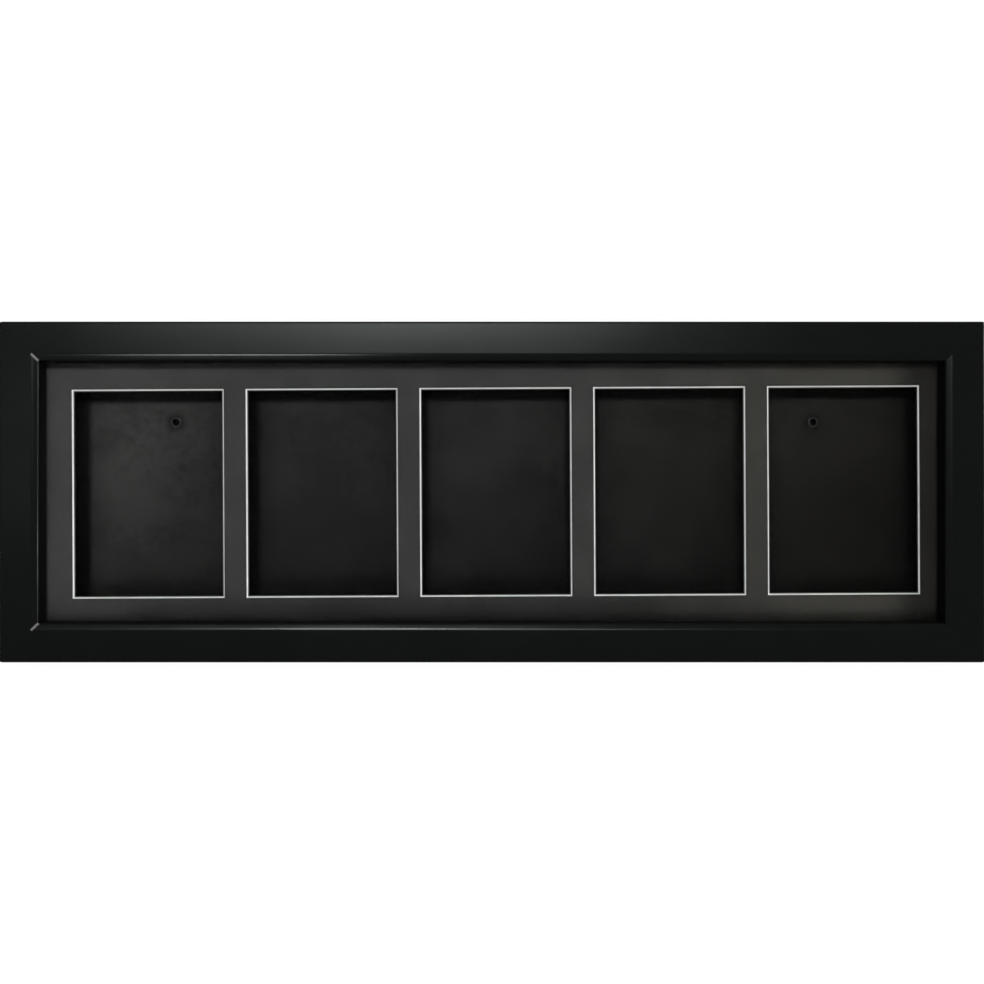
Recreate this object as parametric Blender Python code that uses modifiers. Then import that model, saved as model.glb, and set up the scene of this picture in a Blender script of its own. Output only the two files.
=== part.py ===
"""Deep box frame that shows a row of trading cards behind a mat with one window for each card.

Metres, +Z up. The frame stands on its bottom rail, its front faces -Y and its width runs along X.
The origin is on the floor, under the middle of the whole object. Left and right are as seen from
the front. A depth is measured from the front face towards the back, and inward is from a rail's
outer edge towards the middle of the frame.
"""

import math

import bmesh
import bpy
from mathutils import Matrix, Vector

MM = 0.001

# Meshes that touch on the real frame keep this gap
SEAT_GAP = 0.3 * MM

# Cards, and the windows that are cut for them in the mat
WINDOW_COUNT = 5
CARD_WIDTH = 63.5 * MM
CARD_HEIGHT = 88.9 * MM
CARD_SIDE_MARGIN = 0.5 * MM
CARD_END_MARGIN = 0.3 * MM
MAT_BAR_WIDTH = 8.8 * MM
MAT_SIDE_MARGIN = 8.2 * MM
MAT_END_MARGIN = 9.9 * MM
WINDOW_ROW_OFFSET = 1.7 * MM
WINDOW_ROW_TILT = math.radians(0.3)

# Moulding of the rails
RAIL_FACE_WIDTH = 14.15 * MM
RAIL_BEVEL_WIDTH = 2.8 * MM
RAIL_BEVEL_DEPTH = 0.9 * MM
LIP_WIDTH = 6.0 * MM
LIP_DEPTH = 9.0 * MM
OUTER_ARRIS_RADIUS = 1.0 * MM
FACE_ARRIS_RADIUS = 4.0 * MM
SIGHT_ARRIS_RADIUS = 1.2 * MM
CORNER_RADIUS = 1.5 * MM
MITRE_GAP = 0.2 * MM

# Layers that lie in the rabbet, front to back
RABBET_CLEARANCE = 0.5 * MM
GLAZING_THICKNESS = 2.0 * MM
MAT_THICKNESS = 1.4 * MM
SPACER_DEPTH = 13.1 * MM
SPACER_WIDTH = 5.0 * MM
BOARD_THICKNESS = 3.0 * MM
BOARD_SETBACK = 0.3 * MM

# Nails that hold the mitres together
V_NAIL_LEG = 4.2 * MM
V_NAIL_THICKNESS = 0.8 * MM
V_NAIL_DEPTH = 8.0 * MM
V_NAIL_HALF_ANGLE = math.radians(50)

# Turn buttons and their screws
BUTTON_SPACING = 150.0 * MM
BUTTON_WIDTH = 8.0 * MM
BUTTON_REACH = 21.0 * MM
BUTTON_THICKNESS = 1.0 * MM
SCREW_DIAMETER = 2.5 * MM
SCREW_LENGTH = 11.0 * MM
SCREW_TIP = 2.5 * MM
SCREW_HEAD_DIAMETER = 5.4 * MM
SCREW_HEAD_HEIGHT = 1.6 * MM
RECESS_ARM = 1.5 * MM
RECESS_WIDTH = 0.7 * MM
RECESS_DEPTH = 0.9 * MM
SCREW_CLEARANCE = 0.3 * MM
# From one screw to the next, because no two stop at the same angle
SCREW_TURN_STEP = math.radians(23)

# Wall hangers: a strap riveted to the backing board, with a ring in its rolled end. The inset is
# from the board's end to the rivet, the drop from its top edge, and the pair is a little off centre
HANGER_INSET = 56.35 * MM
HANGER_OFFSET = 1.1 * MM
HANGER_DROP = 30.15 * MM
STRAP_WIDTH = 9.0 * MM
STRAP_THICKNESS = 0.9 * MM
STRAP_RISE = 19.0 * MM
RING_WIRE = 2.0 * MM
RING_ARM_CLEARANCE = 1.0 * MM
RING_DROP = 12.5 * MM
RING_CORNER_RADIUS = 2.0 * MM
RIVET_SHANK = 3.4 * MM
RIVET_HOLE = 2.6 * MM
RIVET_HOLE_DEPTH = 3.6 * MM
RIVET_HEAD_DIAMETER = 6.6 * MM
RIVET_HEAD_HEIGHT = 1.2 * MM
RIVET_CLENCH_DIAMETER = 4.6 * MM
RIVET_CLENCH_HEIGHT = 0.6 * MM

# Rubber bumpers at the lower corners of the back
BUMPER_DIAMETER = 9.0 * MM
BUMPER_PROUD = 5.0 * MM
BUMPER_EDGE_RADIUS = 1.2 * MM
BUMPER_INSET = 12.0 * MM

# Facets: of a small rounded edge, of a quarter of a round end, and of a full turn
ARC_STEPS = 4
END_STEPS = 8
TURN_STEPS = 24
# Vertices nearer than this are one
WELD = 0.002 * MM
# A cutter runs past the faces that it opens by this much
OVERCUT = 2.0 * MM
SHARP_ANGLE = math.radians(40)

# Sizes that follow from the ones above
WINDOW_WIDTH = CARD_WIDTH + 2 * CARD_SIDE_MARGIN
WINDOW_HEIGHT = CARD_HEIGHT + 2 * CARD_END_MARGIN
WINDOW_PITCH = WINDOW_WIDTH + 2 * MAT_THICKNESS + MAT_BAR_WIDTH
ROW_WIDTH = WINDOW_COUNT * WINDOW_PITCH - MAT_BAR_WIDTH
RAIL_WIDTH = RAIL_FACE_WIDTH + RAIL_BEVEL_WIDTH
RABBET_WALL = RAIL_WIDTH - LIP_WIDTH
FRAME_WIDTH = ROW_WIDTH + 2 * (MAT_SIDE_MARGIN + RAIL_WIDTH)
FRAME_HEIGHT = WINDOW_HEIGHT + 2 * (MAT_THICKNESS + MAT_END_MARGIN + RAIL_WIDTH)
SHEET_WIDTH = FRAME_WIDTH - 2 * (RABBET_WALL + RABBET_CLEARANCE)
SHEET_HEIGHT = FRAME_HEIGHT - 2 * (RABBET_WALL + RABBET_CLEARANCE)
GLAZING_FRONT = LIP_DEPTH + SEAT_GAP
MAT_FRONT = GLAZING_FRONT + GLAZING_THICKNESS + SEAT_GAP
SPACER_FRONT = MAT_FRONT + MAT_THICKNESS + SEAT_GAP
BOARD_FRONT = SPACER_FRONT + SPACER_DEPTH + SEAT_GAP
BOARD_BACK = BOARD_FRONT + BOARD_THICKNESS
RAIL_DEPTH = BOARD_BACK + BOARD_SETBACK
FRONT_Y = -(RAIL_DEPTH + BUMPER_PROUD) / 2
CENTRE_Z = FRAME_HEIGHT / 2
BUTTON_FRONT = RAIL_DEPTH + SEAT_GAP
HEAD_FRONT = BUTTON_FRONT + BUTTON_THICKNESS + SEAT_GAP
STRAP_FRONT = BOARD_BACK + SEAT_GAP
BARREL_INNER = RING_WIRE / 2 + SEAT_GAP
BARREL_OUTER = BARREL_INNER + STRAP_THICKNESS
RIVET_Z = CENTRE_Z + SHEET_HEIGHT / 2 - HANGER_DROP
# Nails, screws and bumpers sit in the middle of the rails' back faces
WALL_MIDDLE = RABBET_WALL / 2

# Each side of the frame: the turn about Y that brings the bottom side to it, its length, and how
# far its outer edge lies from the frame's middle
SIDES = {
    "bottom": (0, FRAME_WIDTH, FRAME_HEIGHT / 2),
    "left": (math.pi / 2, FRAME_HEIGHT, FRAME_WIDTH / 2),
    "top": (math.pi, FRAME_WIDTH, FRAME_HEIGHT / 2),
    "right": (-math.pi / 2, FRAME_HEIGHT, FRAME_WIDTH / 2),
}
CORNERS = {
    "bottom_left": (-1, -1),
    "bottom_right": (1, -1),
    "top_left": (-1, 1),
    "top_right": (1, 1),
}
# The two hangers, and the two bumpers
LEFT_AND_RIGHT = {"left": -1, "right": 1}
# Each turn button: the side that it is on, and its place along that side in half spacings
BUTTONS = {
    "top_left": ("top", 1),
    "top_right": ("top", -1),
    "bottom_left": ("bottom", -1),
    "bottom_right": ("bottom", 1),
    "left": ("left", 0),
    "right": ("right", 0),
}


def clear_scene():
    for obj in list(bpy.data.objects):
        bpy.data.objects.remove(obj, do_unlink=True)


def new_collection(name):
    collection = bpy.data.collections.new(name)
    bpy.context.scene.collection.children.link(collection)
    return collection


def new_material(name, colour, roughness, metallic=0.0):
    material = bpy.data.materials.new(name)
    material.use_nodes = True
    shader = material.node_tree.nodes["Principled BSDF"]
    shader.inputs["Base Color"].default_value = (*colour, 1)
    shader.inputs["Roughness"].default_value = roughness
    shader.inputs["Metallic"].default_value = metallic
    material.diffuse_color = (*colour, 1)
    return material


def rounded(corners, steps=ARC_STEPS):
    """Points of a closed outline from its corners (x, y, radius), each rounded to its radius."""
    points = []
    for i, (x, y, radius) in enumerate(corners):
        corner = Vector((x, y))
        if not radius:
            points.append(corner)
            continue
        to_last = (Vector(corners[i - 1][:2]) - corner).normalized()
        to_next = (Vector(corners[(i + 1) % len(corners)][:2]) - corner).normalized()
        half = to_last.angle(to_next) / 2
        centre = corner + (to_last + to_next).normalized() * radius / math.sin(half)
        start = corner + to_last * radius / math.tan(half) - centre
        end = corner + to_next * radius / math.tan(half) - centre
        for k in range(steps + 1):
            ray = start.normalized().slerp(end.normalized(), k / steps)
            points.append(centre + ray * radius)
    # Two arcs that meet share a point
    return [p for i, p in enumerate(points) if (p - points[i - 1]).length > WELD]


def arc(centre_x, centre_y, radius, first, last, steps):
    """Points on an arc between two angles in radians, both ends included."""
    angles = [first + (last - first) * k / steps for k in range(steps + 1)]
    return [(centre_x + radius * math.cos(a), centre_y + radius * math.sin(a)) for a in angles]


def circle(centre_x, centre_y, radius):
    return arc(centre_x, centre_y, radius, 0, 2 * math.pi, TURN_STEPS)[:-1]


def dome(radius, height):
    """Profile of a domed head, from the middle of its top down to its rim at z = 0."""
    angles = [math.pi / 2 * k / ARC_STEPS for k in range(ARC_STEPS)]
    return [(radius * math.sin(a), height * math.cos(a)) for a in angles] + [(radius, 0)]


def baked(obj):
    """The mesh that an object shows with its modifiers, welded. The object is removed."""
    if not obj.users_collection:
        bpy.context.scene.collection.objects.link(obj)
    graph = bpy.context.evaluated_depsgraph_get()
    mesh = bpy.data.meshes.new_from_object(obj.evaluated_get(graph))
    mesh.name = obj.name
    source = obj.data
    bpy.data.objects.remove(obj, do_unlink=True)
    if isinstance(source, bpy.types.Curve):
        bpy.data.curves.remove(source)
    shape = bmesh.new()
    shape.from_mesh(mesh)
    bmesh.ops.remove_doubles(shape, verts=shape.verts, dist=WELD)
    bmesh.ops.recalc_face_normals(shape, faces=shape.faces)
    shape.to_mesh(mesh)
    shape.free()
    return mesh


def prism(name, outlines, length):
    """Solid between copies of closed outlines drawn in local XY. It is length long along local Z."""
    curve = bpy.data.curves.new(name, "CURVE")
    curve.dimensions = "2D"
    curve.fill_mode = "BOTH"
    curve.extrude = length / 2
    for outline in outlines:
        spline = curve.splines.new("POLY")
        spline.points.add(len(outline) - 1)
        spline.use_cyclic_u = True
        for point, (x, y) in zip(spline.points, outline):
            point.co = (x, y, 0, 1)
    return baked(bpy.data.objects.new(name, curve))


def turned(name, profile):
    """Solid turned about local Z from a profile (radius, z) that runs down its outer side."""
    mesh = bpy.data.meshes.new(name)
    edges = [(i, i + 1) for i in range(len(profile) - 1)]
    mesh.from_pydata([(radius, 0, z) for radius, z in profile], edges, [])
    obj = bpy.data.objects.new(name, mesh)
    screw = obj.modifiers.new("Turn", "SCREW")
    screw.steps = TURN_STEPS
    screw.render_steps = TURN_STEPS
    screw.use_merge_vertices = True
    screw.merge_threshold = WELD
    return baked(obj)


def block(name, width, depth, height):
    """Box centred on its origin."""
    mesh = bpy.data.meshes.new(name)
    shape = bmesh.new()
    size = Matrix.Diagonal((width, depth, height, 1))
    bmesh.ops.create_cube(shape, size=1, matrix=size)
    shape.to_mesh(mesh)
    shape.free()
    return mesh


def add(name, mesh, material, x=0.0, depth=0.0, z=0.0, turn=(0, 0, 0)):
    """Piece at x, at a depth behind the front face and at height z, turned about X, Y and Z."""
    obj = bpy.data.objects.new(name, mesh)
    obj.location = (x, FRONT_Y + depth, z)
    obj.rotation_euler = turn
    if not mesh.materials:
        mesh.materials.append(material)
        mesh.shade_smooth()
        mesh.set_sharp_from_angle(angle=SHARP_ANGLE)
    PARTS.objects.link(obj)
    return obj


def add_on_side(name, mesh, material, side, along, depth, inward, turn=(0, 0, 0)):
    """Piece on a side of the frame, placed and turned in the frame of that side's empty."""
    obj = add(name, mesh, material, turn=turn)
    obj.location = (along, depth, inward)
    obj.parent = SIDE_EMPTIES[side]
    return obj


def as_cutter(obj):
    PARTS.objects.unlink(obj)
    CUTTERS.objects.link(obj)
    obj.hide_render = True
    obj.display_type = "WIRE"
    return obj


def cut(obj, cutter, operation="DIFFERENCE"):
    """A cut leaves faces with no smooth edges between them, so the piece is shaded flat."""
    obj.data.shade_flat()
    modifier = obj.modifiers.new(cutter.name, "BOOLEAN")
    modifier.operation = operation
    modifier.object = cutter


def add_side_empties():
    """An empty on each outer edge. Its X runs along the side, its Y to the back and its Z inward."""
    empties = {}
    for side, (turn, _, distance) in SIDES.items():
        empty = bpy.data.objects.new("side_" + side, None)
        centre = Vector((0, FRONT_Y, CENTRE_Z))
        empty.location = centre + Matrix.Rotation(turn, 3, "Y") @ Vector((0, 0, -distance))
        empty.rotation_euler = (0, turn, 0)
        PARTS.objects.link(empty)
        empties[side] = empty
    return empties


def rail_section():
    """Section of the moulding: how far inward, and how deep."""
    return rounded(
        [
            (0, 0, OUTER_ARRIS_RADIUS),
            (RAIL_FACE_WIDTH, 0, FACE_ARRIS_RADIUS),
            (RAIL_WIDTH, RAIL_BEVEL_DEPTH, SIGHT_ARRIS_RADIUS),
            (RAIL_WIDTH, LIP_DEPTH, 0),
            (RABBET_WALL, LIP_DEPTH, 0),
            (RABBET_WALL, RAIL_DEPTH, 0),
            (0, RAIL_DEPTH, 0),
        ]
    )


def add_rail(side):
    """Length of moulding with both ends mitred."""
    length = SIDES[side][1]
    mesh = prism("rail_" + side, [rail_section()], length)
    for vertex in mesh.vertices:
        inward, depth, along = vertex.co
        end = math.copysign(length / 2 - inward - MITRE_GAP / math.sqrt(2), along)
        vertex.co = (-end, depth, inward)
    rail = add_on_side("rail_" + side, mesh, BLACK_LACQUER, side, 0, 0, 0)
    for corner in CORNERS:
        if side in corner:
            cut(rail, CORNER_TRIMS[corner])
            cut(rail, V_NAIL_SLOTS[corner])
    for button, (button_side, _) in BUTTONS.items():
        if button_side == side:
            cut(rail, SCREW_HOLES[button])


def corner_place(corner, inset):
    """Place of a point on a corner's mitre line, and the turn that points local +Y along it inward."""
    sign_x, sign_z = CORNERS[corner]
    x = sign_x * (FRAME_WIDTH / 2 - inset)
    z = CENTRE_Z + sign_z * (FRAME_HEIGHT / 2 - inset)
    return x, z, math.atan2(-sign_x, -sign_z)


def add_corner_trims():
    """Cutters that round the frame's four corners, as sanding does."""
    radius = CORNER_RADIUS
    outline = [(-OVERCUT, -OVERCUT), (radius, -OVERCUT)]
    outline += arc(radius, radius, radius, -math.pi / 2, -math.pi, ARC_STEPS)
    outline.append((-OVERCUT, radius))
    mesh = prism("corner_trim", [outline], RAIL_DEPTH + 2 * OVERCUT)
    trims = {}
    for corner in CORNERS:
        x, z, turn = corner_place(corner, 0)
        turns = (math.pi / 2, turn - math.pi / 4, 0)
        trim = add("corner_trim_" + corner, mesh, BLACK_LACQUER, x, RAIL_DEPTH / 2, z, turns)
        trims[corner] = as_cutter(trim)
    return trims


def chevron(grow):
    """Outline of a bent strip with its point at the origin and its legs towards +Y, made bigger all round."""
    across = math.sin(V_NAIL_HALF_ANGLE)
    along = math.cos(V_NAIL_HALF_ANGLE)
    half = V_NAIL_THICKNESS / 2 + grow
    leg = V_NAIL_LEG + grow
    outer = [(leg * across + half * along, leg * along - half * across)]
    inner = [(leg * across - half * along, leg * along + half * across)]
    point = half / across
    mirrored = [(-x, y) for x, y in outer + inner]
    return [(0, -point), *outer, *inner, (0, point), mirrored[1], mirrored[0]]


def add_v_nails():
    """Bent steel strips driven across the mitres from the back, and the slots that they make."""
    nail = prism("v_nail", [chevron(0)], V_NAIL_DEPTH)
    slot = prism("v_nail_slot", [chevron(SEAT_GAP)], V_NAIL_DEPTH + SEAT_GAP + OVERCUT)
    # The bend lies outside the middle of the mitre, and the legs reach as far inside it
    reach = V_NAIL_LEG * math.cos(V_NAIL_HALF_ANGLE)
    inset = WALL_MIDDLE - reach / 2 / math.sqrt(2)
    slots = {}
    for corner in CORNERS:
        x, z, turn = corner_place(corner, inset)
        turns = (math.pi / 2, turn, 0)
        nail_depth = RAIL_DEPTH - V_NAIL_DEPTH / 2
        slot_depth = RAIL_DEPTH + (OVERCUT - V_NAIL_DEPTH - SEAT_GAP) / 2
        add("v_nail_" + corner, nail, NAIL_STEEL, x, nail_depth, z, turns)
        cutter = add("v_nail_slot_" + corner, slot, NAIL_STEEL, x, slot_depth, z, turns)
        slots[corner] = as_cutter(cutter)
    return slots


def add_sheet(name, thickness, front, material):
    """Sheet that fills the rabbet, with its front face at a depth."""
    mesh = block(name, SHEET_WIDTH, thickness, SHEET_HEIGHT)
    return add(name, mesh, material, 0, front + thickness / 2, CENTRE_Z)


def window_cutter_mesh():
    """Wedge-sided block: a window's size at the mat's back, and 45 degrees wider towards the front."""
    mesh = block("window_cutter", WINDOW_WIDTH, MAT_THICKNESS + 2 * OVERCUT, WINDOW_HEIGHT)
    for vertex in mesh.vertices:
        wider = MAT_THICKNESS + OVERCUT if vertex.co.y < 0 else -OVERCUT
        vertex.co.x *= 1 + 2 * wider / WINDOW_WIDTH
        vertex.co.z *= 1 + 2 * wider / WINDOW_HEIGHT
    return mesh


def add_mat():
    mat = add_sheet("mat_board", MAT_THICKNESS, MAT_FRONT, MAT_BLACK)
    mesh = window_cutter_mesh()
    row = Matrix.Rotation(-WINDOW_ROW_TILT, 3, "Y")
    for i in range(WINDOW_COUNT):
        centre = row @ Vector(((i - (WINDOW_COUNT - 1) / 2) * WINDOW_PITCH, 0, 0))
        x = WINDOW_ROW_OFFSET + centre.x
        depth = MAT_FRONT + MAT_THICKNESS / 2
        turns = (0, -WINDOW_ROW_TILT, 0)
        window = add(f"window_cutter_{i + 1}", mesh, MAT_BLACK, x, depth, CENTRE_Z + centre.z, turns)
        cut(mat, as_cutter(window))


def add_spacers():
    """Strips that keep the mat away from the backing board. The side ones stand between the others."""
    depth = SPACER_FRONT + SPACER_DEPTH / 2
    edge_x = (SHEET_WIDTH - SPACER_WIDTH) / 2
    edge_z = (SHEET_HEIGHT - SPACER_WIDTH) / 2
    long_strip = block("spacer_long", SHEET_WIDTH, SPACER_DEPTH, SPACER_WIDTH)
    short_height = SHEET_HEIGHT - 2 * (SPACER_WIDTH + SEAT_GAP)
    short_strip = block("spacer_short", SPACER_WIDTH, SPACER_DEPTH, short_height)
    add("spacer_top", long_strip, SPACER_BLACK, 0, depth, CENTRE_Z + edge_z)
    add("spacer_bottom", long_strip, SPACER_BLACK, 0, depth, CENTRE_Z - edge_z)
    add("spacer_left", short_strip, SPACER_BLACK, -edge_x, depth, CENTRE_Z)
    add("spacer_right", short_strip, SPACER_BLACK, edge_x, depth, CENTRE_Z)


def hanger_x(sign):
    return HANGER_OFFSET + sign * (SHEET_WIDTH / 2 - HANGER_INSET)


def add_backing_board():
    """Board that closes the back, with a hole for each hanger's rivet."""
    board = add_sheet("backing_board", BOARD_THICKNESS, BOARD_FRONT, BOARD_BLACK)
    hole = prism("rivet_hole", [circle(0, 0, RIVET_SHANK / 2 + SEAT_GAP)], BOARD_THICKNESS + OVERCUT)
    for side, sign in LEFT_AND_RIGHT.items():
        depth = BOARD_FRONT + BOARD_THICKNESS / 2
        turns = (math.pi / 2, 0, 0)
        cutter = add("rivet_hole_" + side, hole, BOARD_BLACK, hanger_x(sign), depth, RIVET_Z, turns)
        cut(board, as_cutter(cutter))


def button_mesh():
    """Flat plate with round ends. It turns about its hole, at the origin, and reaches towards +Y."""
    half = BUTTON_WIDTH / 2
    plate = rounded(
        [
            (-half, -half, half),
            (half, -half, half),
            (half, BUTTON_REACH, half),
            (-half, BUTTON_REACH, half),
        ],
        END_STEPS,
    )
    hole = circle(0, 0, SCREW_DIAMETER / 2 + SCREW_CLEARANCE)
    return prism("turn_button", [plate, hole], BUTTON_THICKNESS)


def screw_mesh():
    """Pan-head wood screw with its head's seat at z = 0, its shank towards -Z and a cross recess."""
    head = dome(SCREW_HEAD_DIAMETER / 2, SCREW_HEAD_HEIGHT)
    shank = SCREW_DIAMETER / 2
    profile = [*head, (shank, 0), (shank, SCREW_TIP - SCREW_LENGTH), (0, -SCREW_LENGTH)]
    screw = bpy.data.objects.new("screw", turned("screw", profile))
    arm = RECESS_ARM
    half = RECESS_WIDTH / 2
    quarter = [(half, arm), (half, half), (arm, half)]
    cross = []
    for turn in range(4):
        spin = Matrix.Rotation(-turn * math.pi / 2, 2)
        cross += [spin @ Vector(point) for point in quarter]
    recess = bpy.data.objects.new("screw_recess", prism("screw_recess", [cross], 2 * OVERCUT))
    recess.location.z = SCREW_HEAD_HEIGHT - RECESS_DEPTH + OVERCUT
    PARTS.objects.link(recess)
    bpy.context.scene.collection.objects.link(screw)
    cut(screw, as_cutter(recess))
    bpy.context.view_layer.update()
    return baked(screw)


def add_screw_holes():
    length = SCREW_LENGTH - (HEAD_FRONT - RAIL_DEPTH) + SEAT_GAP + OVERCUT
    mesh = prism("screw_hole", [circle(0, 0, SCREW_DIAMETER / 2 + SCREW_CLEARANCE)], length)
    holes = {}
    for button, (side, place) in BUTTONS.items():
        along = place * BUTTON_SPACING / 2
        depth = RAIL_DEPTH + OVERCUT - length / 2
        turns = (math.pi / 2, 0, 0)
        name = "screw_hole_" + button
        hole = add_on_side(name, mesh, BLACK_LACQUER, side, along, depth, WALL_MIDDLE, turns)
        holes[button] = as_cutter(hole)
    return holes


def add_turn_buttons():
    """Turn buttons, closed over the backing board, and the screws that they turn on."""
    button = button_mesh()
    screw = screw_mesh()
    for i, (name, (side, place)) in enumerate(BUTTONS.items()):
        along = place * BUTTON_SPACING / 2
        depth = BUTTON_FRONT + BUTTON_THICKNESS / 2
        lying = (math.pi / 2, 0, 0)
        add_on_side("turn_button_" + name, button, ZINC, side, along, depth, WALL_MIDDLE, lying)
        driven = (-math.pi / 2, i * SCREW_TURN_STEP, 0)
        screw_name = "button_screw_" + name
        add_on_side(screw_name, screw, ZINC, side, along, HEAD_FRONT, WALL_MIDDLE, driven)


def strap_mesh():
    """Steel strap whose end is rolled round the ring, at the origin. Local Y is to the back."""
    low = -(STRAP_RISE + STRAP_WIDTH)
    turns = 3 * ARC_STEPS
    outer = arc(0, 0, BARREL_OUTER, math.pi, -math.pi / 2, turns)
    inner = arc(0, 0, BARREL_INNER, -math.pi / 2, math.pi, turns)
    side_view = [(-BARREL_OUTER, low), *outer, *inner, (-BARREL_INNER, low)]
    blank = prism("strap_blank", [side_view], STRAP_WIDTH + OVERCUT)
    # The side view was drawn in XY with its thickness along Z: stand it up
    blank.transform(Matrix(((0, 0, 1, 0), (1, 0, 0, 0), (0, 1, 0, 0), (0, 0, 0, 1))))
    strap = bpy.data.objects.new("strap", blank)
    bpy.context.scene.collection.objects.link(strap)
    half = STRAP_WIDTH / 2
    face = rounded(
        [
            (-half, -STRAP_RISE - half, half),
            (half, -STRAP_RISE - half, half),
            (half, BARREL_OUTER + OVERCUT, 0),
            (-half, BARREL_OUTER + OVERCUT, 0),
        ],
        END_STEPS,
    )
    hole = circle(0, -STRAP_RISE, RIVET_SHANK / 2 + SEAT_GAP)
    through = prism("strap_outline", [face, hole], 2 * (BARREL_OUTER + OVERCUT))
    outline = bpy.data.objects.new("strap_outline", through)
    outline.rotation_euler.x = math.pi / 2
    PARTS.objects.link(outline)
    cut(strap, as_cutter(outline), "INTERSECT")
    bpy.context.view_layer.update()
    return baked(strap)


def ring_mesh():
    """Wire ring: a straight leg through the origin along X, and a loop that hangs below it."""
    half = STRAP_WIDTH / 2 + RING_ARM_CLEARANCE + RING_WIRE / 2
    path = rounded(
        [
            (-half, 0, RING_CORNER_RADIUS),
            (half, 0, RING_CORNER_RADIUS),
            (half, -RING_DROP, half),
            (-half, -RING_DROP, half),
        ],
        END_STEPS,
    )
    curve = bpy.data.curves.new("d_ring", "CURVE")
    curve.dimensions = "3D"
    curve.bevel_depth = RING_WIRE / 2
    curve.bevel_resolution = 2
    spline = curve.splines.new("POLY")
    spline.points.add(len(path) - 1)
    spline.use_cyclic_u = True
    for point, (x, z) in zip(spline.points, path):
        point.co = (x, 0, z, 1)
    return baked(bpy.data.objects.new("d_ring", curve))


def rivet_mesh():
    """Rivet with a domed head at the back. Its hollow end is clenched on the front of the board."""
    shank = RIVET_SHANK / 2
    clench = RIVET_CLENCH_DIAMETER / 2
    hole = RIVET_HOLE / 2
    grip = STRAP_THICKNESS + BOARD_THICKNESS + 3 * SEAT_GAP
    end = -grip - RIVET_CLENCH_HEIGHT
    profile = [
        *dome(RIVET_HEAD_DIAMETER / 2, RIVET_HEAD_HEIGHT),
        (shank, 0),
        (shank, -grip),
        (clench, -grip),
        (clench, end + RIVET_CLENCH_HEIGHT / 2),
        ((clench + hole) / 2, end),
        (hole, end + RIVET_CLENCH_HEIGHT / 3),
        (hole, end + RIVET_HOLE_DEPTH),
        (0, end + RIVET_HOLE_DEPTH),
    ]
    return turned("hanger_rivet", profile)


def add_hangers():
    strap = strap_mesh()
    ring = ring_mesh()
    rivet = rivet_mesh()
    axis_depth = STRAP_FRONT + BARREL_OUTER
    axis_z = RIVET_Z + STRAP_RISE
    rivet_depth = STRAP_FRONT + STRAP_THICKNESS + SEAT_GAP
    for side, sign in LEFT_AND_RIGHT.items():
        x = hanger_x(sign)
        add("hanger_strap_" + side, strap, ZINC, x, axis_depth, axis_z)
        add("d_ring_" + side, ring, ZINC, x, axis_depth, axis_z)
        add("hanger_rivet_" + side, rivet, RIVET_STEEL, x, rivet_depth, RIVET_Z, (-math.pi / 2, 0, 0))


def add_bumpers():
    """Rubber bumpers, stuck to the lower corners of the back."""
    radius = BUMPER_DIAMETER / 2
    height = BUMPER_PROUD - SEAT_GAP
    edge = BUMPER_EDGE_RADIUS
    rim = arc(radius - edge, height - edge, edge, math.pi / 2, 0, ARC_STEPS)
    mesh = turned("bumper", [(0, height), *rim, (radius, 0), (0, 0)])
    turns = (-math.pi / 2, 0, 0)
    for side, sign in LEFT_AND_RIGHT.items():
        x = sign * (FRAME_WIDTH / 2 - BUMPER_INSET - RABBET_WALL)
        add("bumper_" + side, mesh, RUBBER, x, RAIL_DEPTH + SEAT_GAP, WALL_MIDDLE, turns)


clear_scene()
PARTS = new_collection("card_display_frame")
CUTTERS = new_collection("cutters")
BLACK_LACQUER = new_material("black_lacquer", (0.008, 0.008, 0.008), 0.3)
NAIL_STEEL = new_material("nail_steel", (0.35, 0.35, 0.36), 0.4, 1.0)
CLEAR_GLASS = new_material("clear_glass", (0.9, 0.93, 0.93), 0.03)
MAT_BLACK = new_material("mat_black", (0.03, 0.031, 0.031), 0.85)
SPACER_BLACK = new_material("spacer_black", (0.015, 0.015, 0.015), 0.9)
BOARD_BLACK = new_material("board_black", (0.016, 0.016, 0.015), 0.8)
ZINC = new_material("zinc_plate", (0.55, 0.56, 0.58), 0.35, 1.0)
RIVET_STEEL = new_material("rivet_black", (0.05, 0.05, 0.05), 0.45, 1.0)
RUBBER = new_material("bumper_rubber", (0.02, 0.02, 0.02), 0.7)

SIDE_EMPTIES = add_side_empties()
CORNER_TRIMS = add_corner_trims()
V_NAIL_SLOTS = add_v_nails()
SCREW_HOLES = add_screw_holes()
for rail_side in SIDES:
    add_rail(rail_side)
add_sheet("glazing", GLAZING_THICKNESS, GLAZING_FRONT, CLEAR_GLASS)
add_mat()
add_spacers()
add_backing_board()
add_hangers()
add_turn_buttons()
add_bumpers()
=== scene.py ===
# %% [markdown]
# # A deep black frame for a row of trading cards
#
# The frame stands on its bottom edge and we look straight at it. Its solids are already made and
# measured, so this script only dresses them: it gives each piece its finish, and it rebuilds the
# pieces that need finer edges than the solids have.
#
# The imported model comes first. It sets the shared frame: metres, +Z up, the front towards -Y.

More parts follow.
